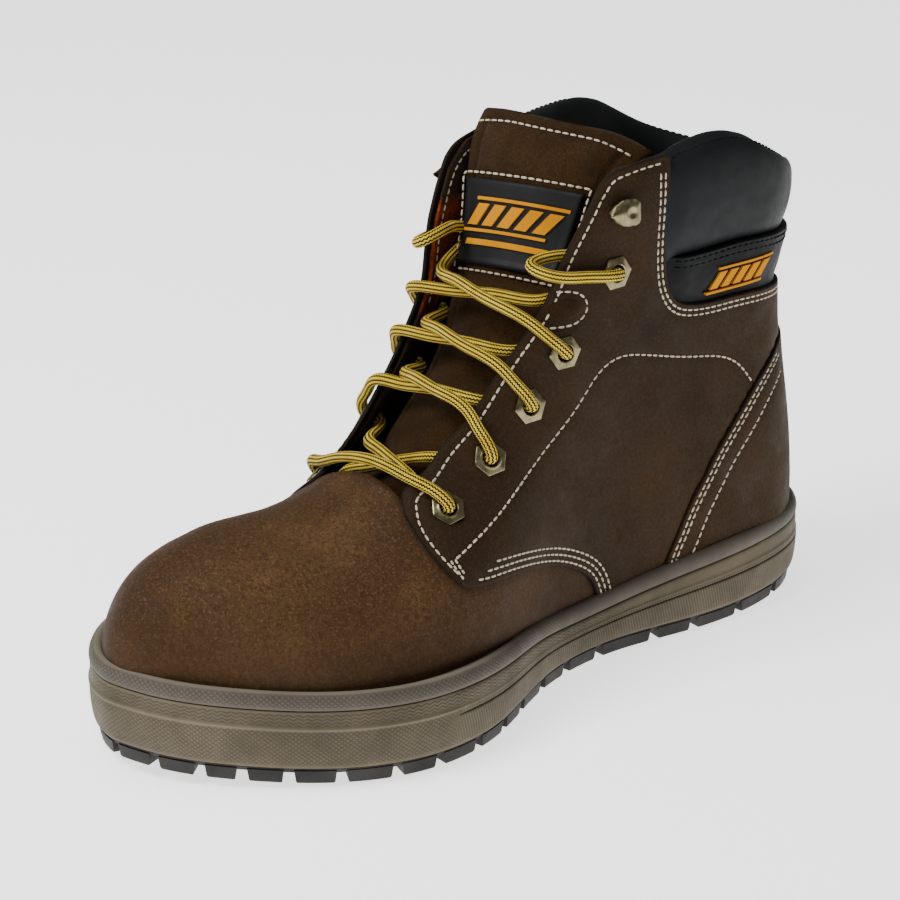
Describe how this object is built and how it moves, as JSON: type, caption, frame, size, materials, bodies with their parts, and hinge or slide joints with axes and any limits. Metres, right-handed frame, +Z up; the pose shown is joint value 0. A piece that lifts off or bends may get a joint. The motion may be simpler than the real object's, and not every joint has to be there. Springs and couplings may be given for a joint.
{
  "type": "work boot",
  "caption": "Left ankle-height leather work boot with a steel toe cap, padded collar, rubber cup sole with lugs, laced eyelets and speed hooks.",
  "frame": {"origin": "centre of the boot's box in plan, on the ground under the lowest tread faces", "axes": "+Y from toe to heel along the sole, +Z up, +X towards the lateral (outer) side of a left boot"},
  "size_m": [0.1244, 0.316, 0.197],
  "materials": {
    "brown_leather": "waxed nubuck, matt",
    "dark_leather": "oiled leather, matt",
    "suede": "split suede, matt",
    "rust_suede": "raw dyed split leather",
    "black_synthetic": "coated synthetic leather, satin",
    "black_fabric": "knit lining",
    "foam": "open cell foam",
    "taupe_rubber": "moulded rubber, matt",
    "rim_rubber": "moulded rubber, satin",
    "black_rubber": "moulded rubber, matt",
    "board": "pressed fibre board",
    "grey_polymer": "moulded",
    "steel": "pressed steel",
    "antique_brass": "antique brass",
    "yellow_rubber": "moulded rubber, raised",
    "lace_yellow": "braided, yellow with black stripes"
  },
  "bodies": {
    "boot": {"vamp": "brown_leather", "quarter_lateral": "dark_leather", "quarter_medial": "dark_leather", "heel_cover": "dark_leather", "backstay_strip": "black_synthetic", "collar_cover": "black_synthetic", "ankle_panel_lateral": "black_synthetic", "ankle_panel_medial": "black_synthetic", "side_badge": "yellow_rubber", "flex_insert_lateral": "suede", "flex_insert_medial": "suede", "hook_lateral": "antique_brass", "hook_medial": "antique_brass", "hook_rivet_lateral": "antique_brass", "hook_rivet_medial": "antique_brass", "lace": "lace_yellow", "aglet_a": "black_rubber", "aglet_b": "black_rubber", "eyestay_facing_lateral": "rust_suede", "eyestay_facing_medial": "rust_suede", "collar_foam": "foam", "steel_toe_cap": "steel", "toe_cap_strip": "black_rubber", "heel_stiffener": "grey_polymer", "lining_lateral": "black_fabric", "lining_medial": "black_fabric", "vamp_lining": "black_fabric", "heel_lining": "suede", "outsole": "black_rubber", "cupsole": "taupe_rubber", "upper_rim": "rim_rubber", "cushion_core": "foam", "shank": "steel", "insole_board": "board", "eyelet_lateral_1": "antique_brass", "eyelet_lateral_2": "antique_brass", "eyelet_lateral_3": "antique_brass", "eyelet_lateral_4": "antique_brass", "eyelet_lateral_5": "antique_brass", "eyelet_medial_1": "antique_brass", "eyelet_medial_2": "antique_brass", "eyelet_medial_3": "antique_brass", "eyelet_medial_4": "antique_brass", "eyelet_medial_5": "antique_brass"},
    "tongue": {"tongue": "suede", "tongue_foam": "foam", "tongue_lining": "black_fabric", "tongue_label": "black_synthetic", "label_emblem": "yellow_rubber"},
    "footbed": {"footbed": "foam", "footbed_cover": "black_fabric"}
  },
  "joints": [
    {"name": "tongue_fold", "type": "hinge", "parent": "boot", "child": "tongue", "pos_m": [-0.0031, -0.064, 0.066], "axis": [-1, 0, 0], "range_deg": [0, 9]},
    {"name": "footbed_lift", "type": "hinge", "parent": "boot", "child": "footbed", "pos_m": [-0.0031, -0.1465, 0.0256], "axis": [1, 0, 0], "range_deg": [0, 8]}
  ]
}
